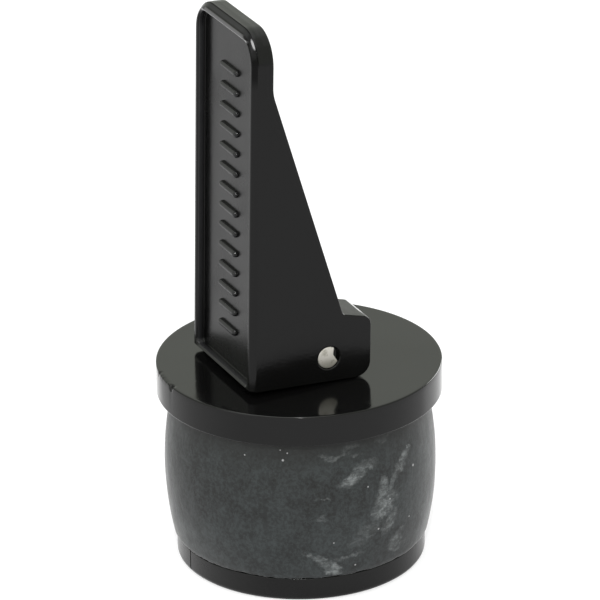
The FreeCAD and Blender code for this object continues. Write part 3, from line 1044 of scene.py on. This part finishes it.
def makeStud():
    eye = crossBar("stud_steel", steel["eyeRadius"], steel["eyeHalf"], steel["eyeEdge"], 48)
    eye.data.transform(Matrix.Translation((0, 0, pinHeight * mm)))
    end, radius, top = steel["studEnd"], steel["studRadius"], steel["threadTop"]
    bevel, count = steel["studBevel"], steel["threadRows"]
    thread = [(radius, end + bevel + (top - end - bevel) * row / count) for row in range(count + 1)]
    outline = [(0, end), (radius - bevel, end), *thread, (radius, pinHeight), (0, pinHeight)]
    shank = lathe("shank", scaled(outline), 48)
    for vertex in shank.data.vertices:
        place = vertex.co
        z = place.z / mm
        turns = z / steel["threadPitch"] - math.atan2(place.y, place.x) / math.tau
        depth = steel["threadDepth"] * abs(2 * (turns % 1) - 1) * min(1, max(0, top - z))
        if end + 0.1 < z < top:
            place.x *= 1 - depth / radius
            place.y *= 1 - depth / radius
    combine(eye, shank, "UNION")
    finishShading(eye)
    return eye


def makeNut():
    hexagon = hexagonPoints(steel["nutFlats"])
    piece = loftAlong("nut_steel", 2, [(z, hexagon) for z in (steel["nutFoot"], steel["nutTop"])])
    reach = steel["nutFlats"] / math.sqrt(3)
    outside = reach + 0.1
    foot, top = steel["nutFoot"] - 0.1, steel["nutTop"] + 0.1
    inwards, down = steel["nutChamfer"]
    dome = lathe("dome", scaled([
        (0, foot),
        (outside - inwards, foot),
        (outside, foot + down),
        (outside, top - down),
        (outside - inwards, top),
        (0, top),
    ]), 96)
    combine(piece, dome, "INTERSECT")
    radius, end = steel["nutBore"], steel["boreTop"]
    bore = lathe("bore", scaled([(0, 0), (radius, 0), (radius, end), (0, end)]), 48)
    combine(piece, bore, "DIFFERENCE")
    bevelEdges(piece, steel["nutEdge"] * mm, 2)
    finishShading(piece)
    return piece


pinPiece = makePin()
pinPiece.data.materials.append(pinFinish())
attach(pinPiece, "stud")
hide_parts("pivot_pin")

studFinish = steelFinish("stud steel, turned", 0.55, 0.25)
studPiece = makeStud()
studPiece.data.materials.append(studFinish)
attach(studPiece, "stud")
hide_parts("draw_stud")

nutPiece = makeNut()
nutPiece.data.materials.append(studFinish)
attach(nutPiece, "base")
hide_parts("lock_nut")
print("steel parts done")


# Studio

studio = {
    "floorSize": 6.0,
    "azimuth": -24.9,
    "elevation": 24.2,
    "distance": 0.9,
    "pivot": (0, 0, 0.038),           # the camera circles this point
    "aim": (0.0003, -0.0001, 0.0493),
    "lens": 297.6,
    "roll": -0.7,
    "clip": (0.05, 20),
    "skyLevel": 0.7,
    "mirrorTint": (0.96, 1.0, 0.9, 1),   # the surroundings as gloss shows them
    "floorGlow": 0.66,
    "glossDimmer": 0.12,              # how much less of the glow gloss shows
    "behindGlow": 0.37,               # and how much more on the right and behind
    "behindX": (-45, -25),
    "behindY": (-25, -5),
    # name, place, diameter, power
    "lamps": [
        ("top lamp", (-0.2, -0.1, 1.0), 0.9, 5.0),
        ("side lamp", (-1.2, -0.3, 0.6), 0.8, 3.0),
        ("front lamp", (-0.34, -0.72, 0.6), 0.04, 3.0),
        ("right lamp", (1.1, 0.5, 0.4), 0.7, 9.0),
    ],
    "lampAim": (0, 0, 0.05),
}


# wires that are 1 for the named kinds of ray
def rayWires(graph, kinds):
    rays = graph.add("ShaderNodeLightPath", {}, {}, None)
    return [Wire(graph, rays.outputs[f"Is {kind} Ray"]) for kind in kinds]


def makeFloor():
    half = studio["floorSize"] / 2
    mesh = bpy.data.meshes.new("floor")
    corners = [(-half, -half, 0), (half, -half, 0), (half, half, 0), (-half, half, 0)]
    mesh.from_pydata(corners, [], [(0, 1, 2, 3)])
    floor = newPiece("floor", mesh)
    finish = Finish("pale floor")
    inView, inGloss, inGlass = rayWires(finish, ("Camera", "Glossy", "Transmission"))
    plain = finish.add("ShaderNodeBsdfDiffuse", {}, {"Color": grey(0.8)})
    thin = finish.add("ShaderNodeBsdfDiffuse", {}, {"Color": grey(0.4)})
    behind = finish.x.past(*studio["behindX"]) * finish.y.past(*studio["behindY"])
    strength = studio["floorGlow"] + inGloss * (studio["behindGlow"] * behind - studio["glossDimmer"])
    glow = finish.add("ShaderNodeEmission", {}, {"Color": grey(1), "Strength": strength})
    shown = finish.add("ShaderNodeAddShader", {}, [thin, glow])
    mixed = finish.add("ShaderNodeMixShader", {}, [inView.atLeast(inGloss).atLeast(inGlass), plain, shown])
    finish.feed(finish.output.inputs["Surface"], mixed)
    mesh.materials.append(finish.material)


def makeLamp(name, place, size, power):
    light = bpy.data.lights.new(name, "AREA")
    light.shape = "DISK"
    light.size = size
    light.energy = power
    lamp = bpy.data.objects.new(name, light)
    lamp.location = place
    lamp.rotation_euler = (Vector(studio["lampAim"]) - Vector(place)).to_track_quat("-Z", "Y").to_euler()
    scene.collection.objects.link(lamp)


def makeWorld():
    world = bpy.data.worlds.new("studio")
    world.use_nodes = True
    graph = Graph(world.node_tree)
    inView, inGloss = rayWires(graph, ("Camera", "Glossy"))
    limits = {"Value": inView.atLeast(inGloss), "To Min": studio["skyLevel"], "To Max": 1.0}
    level = graph.add("ShaderNodeMapRange", {}, limits, "Result")
    tint = graph.mixColour(inGloss, grey(1), studio["mirrorTint"])
    sky = graph.add("ShaderNodeBackground", {}, {"Color": tint, "Strength": level})
    graph.add("ShaderNodeOutputWorld", {}, {"Surface": sky}, None)
    scene.world = world


def makeCamera():
    azimuth, elevation = math.radians(studio["azimuth"]), math.radians(studio["elevation"])
    level = math.cos(elevation)
    back = Vector((math.sin(azimuth) * level, -math.cos(azimuth) * level, math.sin(elevation)))
    data = bpy.data.cameras.new("camera")
    data.lens = studio["lens"]
    data.clip_start, data.clip_end = studio["clip"]
    camera = bpy.data.objects.new("camera", data)
    camera.location = Vector(studio["pivot"]) + back * studio["distance"]
    aim = Vector(studio["aim"]) - camera.location
    roll = Matrix.Rotation(math.radians(studio["roll"]), 4, "Z")
    turn = aim.to_track_quat("-Z", "Y").to_matrix().to_4x4() @ roll
    camera.rotation_euler = turn.to_euler()
    scene.collection.objects.link(camera)
    scene.camera = camera


makeFloor()
for name, place, size, power in studio["lamps"]:
    makeLamp(name, place, size, power)
makeWorld()
makeCamera()
scene.view_settings.view_transform = "Standard"
print("studio done")
